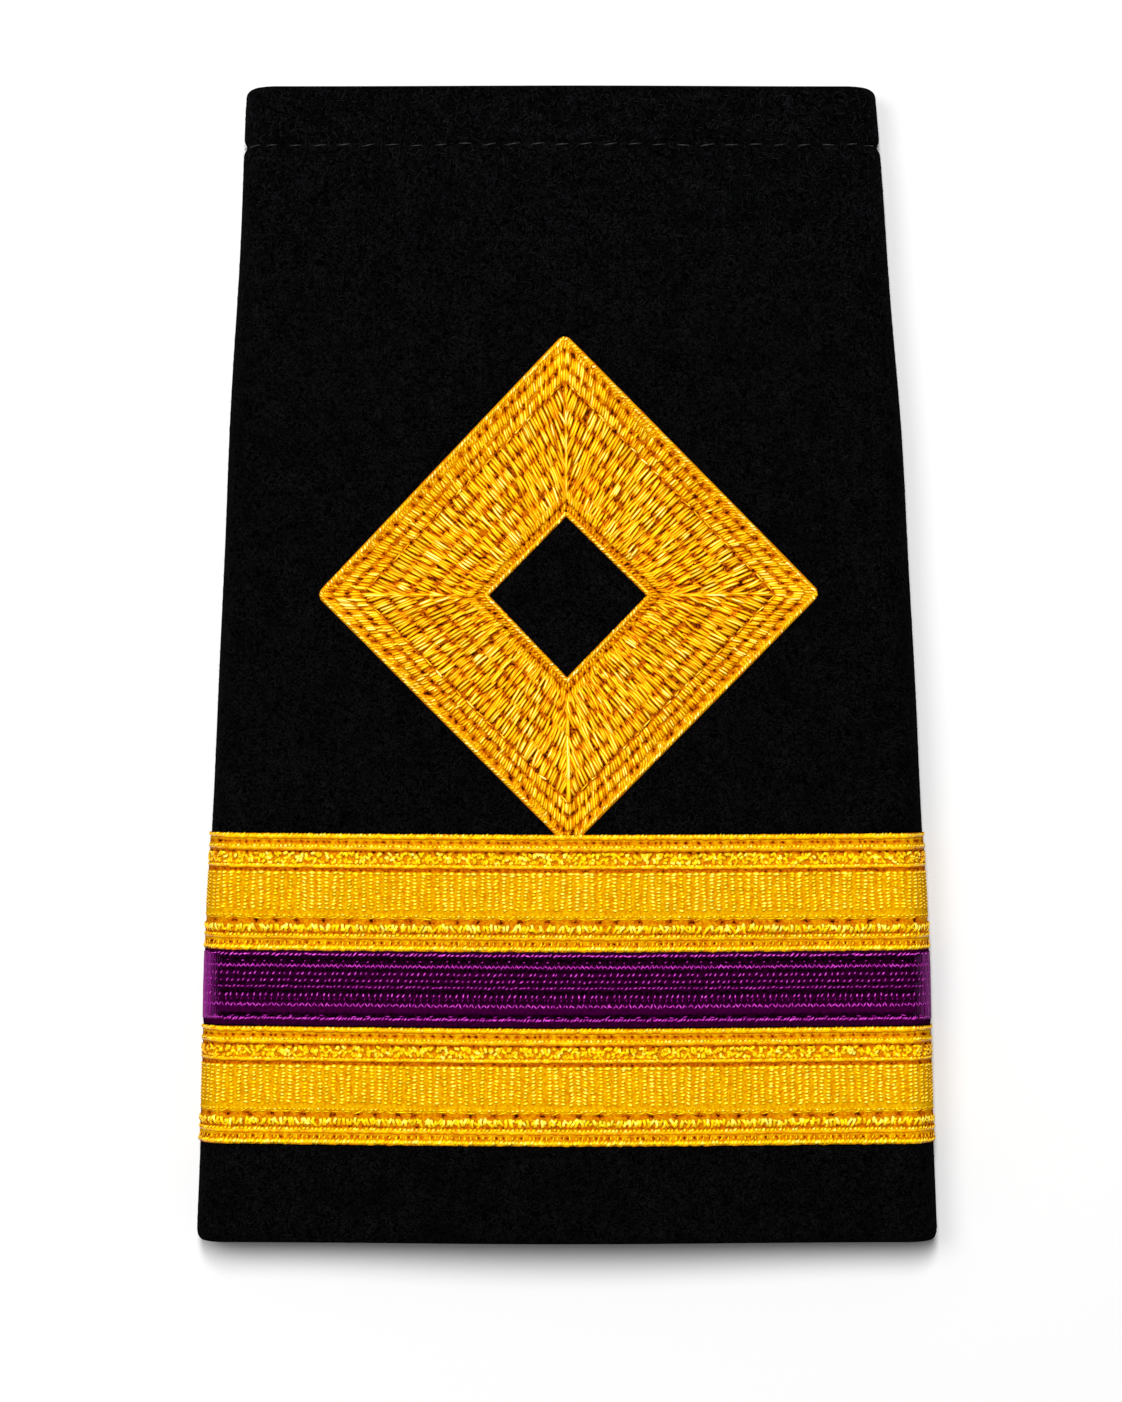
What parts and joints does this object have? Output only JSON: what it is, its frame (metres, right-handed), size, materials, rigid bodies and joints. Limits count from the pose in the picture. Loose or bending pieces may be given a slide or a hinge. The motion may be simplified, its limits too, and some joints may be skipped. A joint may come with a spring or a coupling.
{
  "type": "slip-on rank slide",
  "caption": "Tapered black felt tube that slips over a shoulder strap, with gold laces, a purple ribbon and an open gold diamond embroidered on its front.",
  "frame": {"origin": "middle of the slide's length and width, on the surface that its back lies on", "axes": "+X across the slide, +Y along it to the narrow collar mouth, +Z out of the front that carries the diamond and laces"},
  "size_m": [0.065, 0.1, 0.0096],
  "materials": {
    "black_felt": "matte milled wool felt",
    "gold_lace": "satin woven lace of gold yellow thread",
    "purple_ribbon": "satin corded ribbon of purple thread",
    "gold_embroidery": "satin machine embroidery in gold yellow thread"
  },
  "bodies": {
    "root": {"felt_sleeve": "black_felt", "lower_gold_lace": "gold_lace", "purple_ribbon": "purple_ribbon", "upper_gold_lace": "gold_lace", "diamond_field": "gold_embroidery", "diamond_outer_cord": "gold_embroidery", "diamond_inner_cord": "gold_embroidery"}
  },
  "joints": []
}
